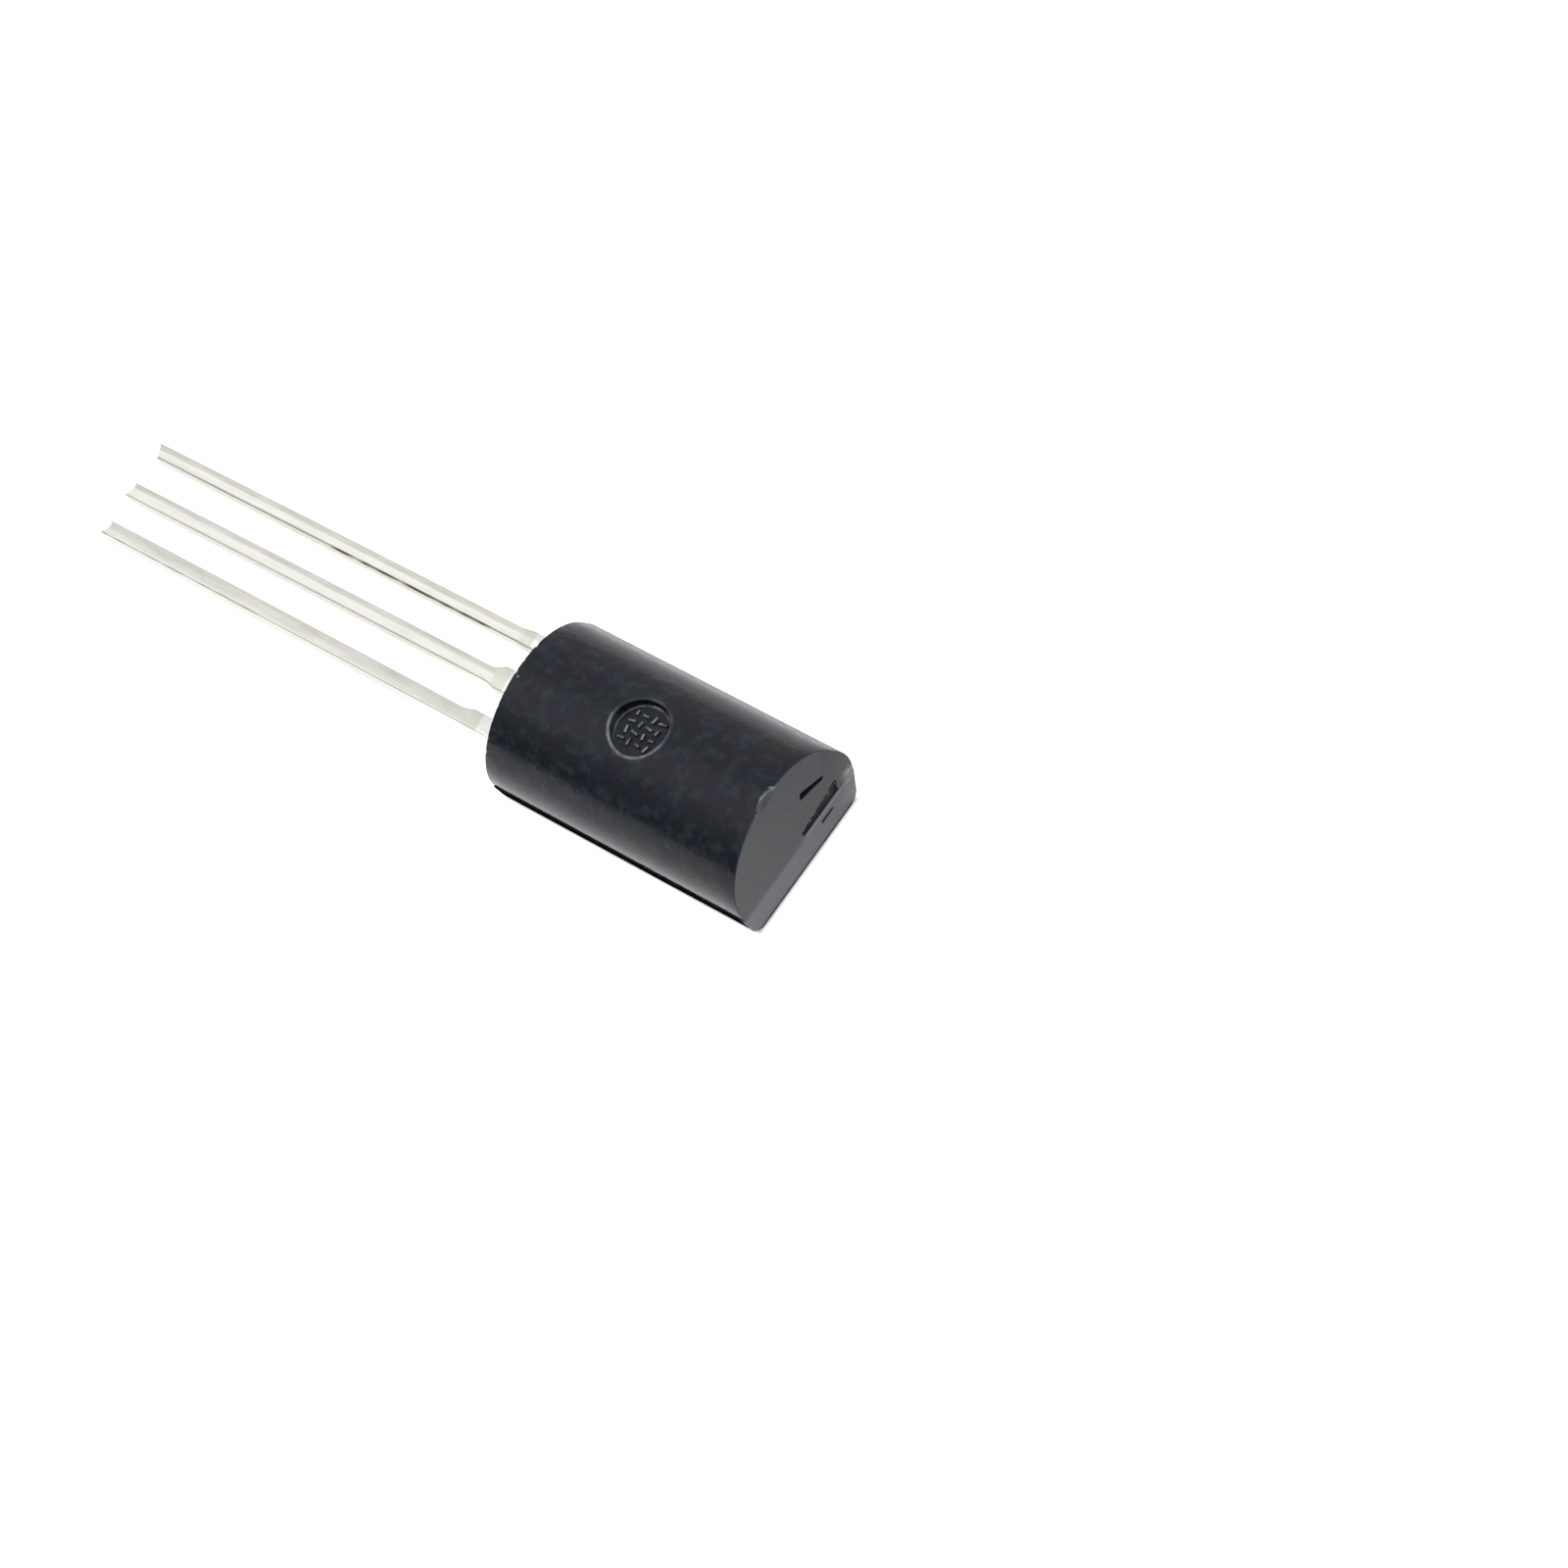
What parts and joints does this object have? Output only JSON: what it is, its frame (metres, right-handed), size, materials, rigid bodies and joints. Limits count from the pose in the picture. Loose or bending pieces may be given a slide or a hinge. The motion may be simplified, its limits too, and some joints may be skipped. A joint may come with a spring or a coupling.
{
  "type": "to-92 transistor",
  "caption": "Through-hole transistor: black moulded case, flat in front and round at the back, with straight tin-plated leads in a row out of one end.",
  "frame": {"origin": "centre of the case's flat front face, which is the face it rests on", "axes": "+Z from the flat front to the round back; +X along the case, away from the leads, which run along -X; +Y across the case, from the emitter lead to the base lead"},
  "size_m": [0.0222, 0.005, 0.0038],
  "materials": {
    "moulded_epoxy": "black moulding compound, fine spark-eroded texture with a low sheen",
    "tin_plated_copper": "satin tin plating, slightly warm",
    "solder": "dull grey",
    "silicon": "polished dark grey",
    "gold_wire": "drawn gold"
  },
  "bodies": {
    "root": {"epoxy_case": "moulded_epoxy", "emitter_lead": "tin_plated_copper", "collector_lead": "tin_plated_copper", "base_lead": "tin_plated_copper", "die_attach": "solder", "silicon_die": "silicon", "emitter_bond_wire": "gold_wire", "base_bond_wire": "gold_wire"}
  },
  "joints": []
}
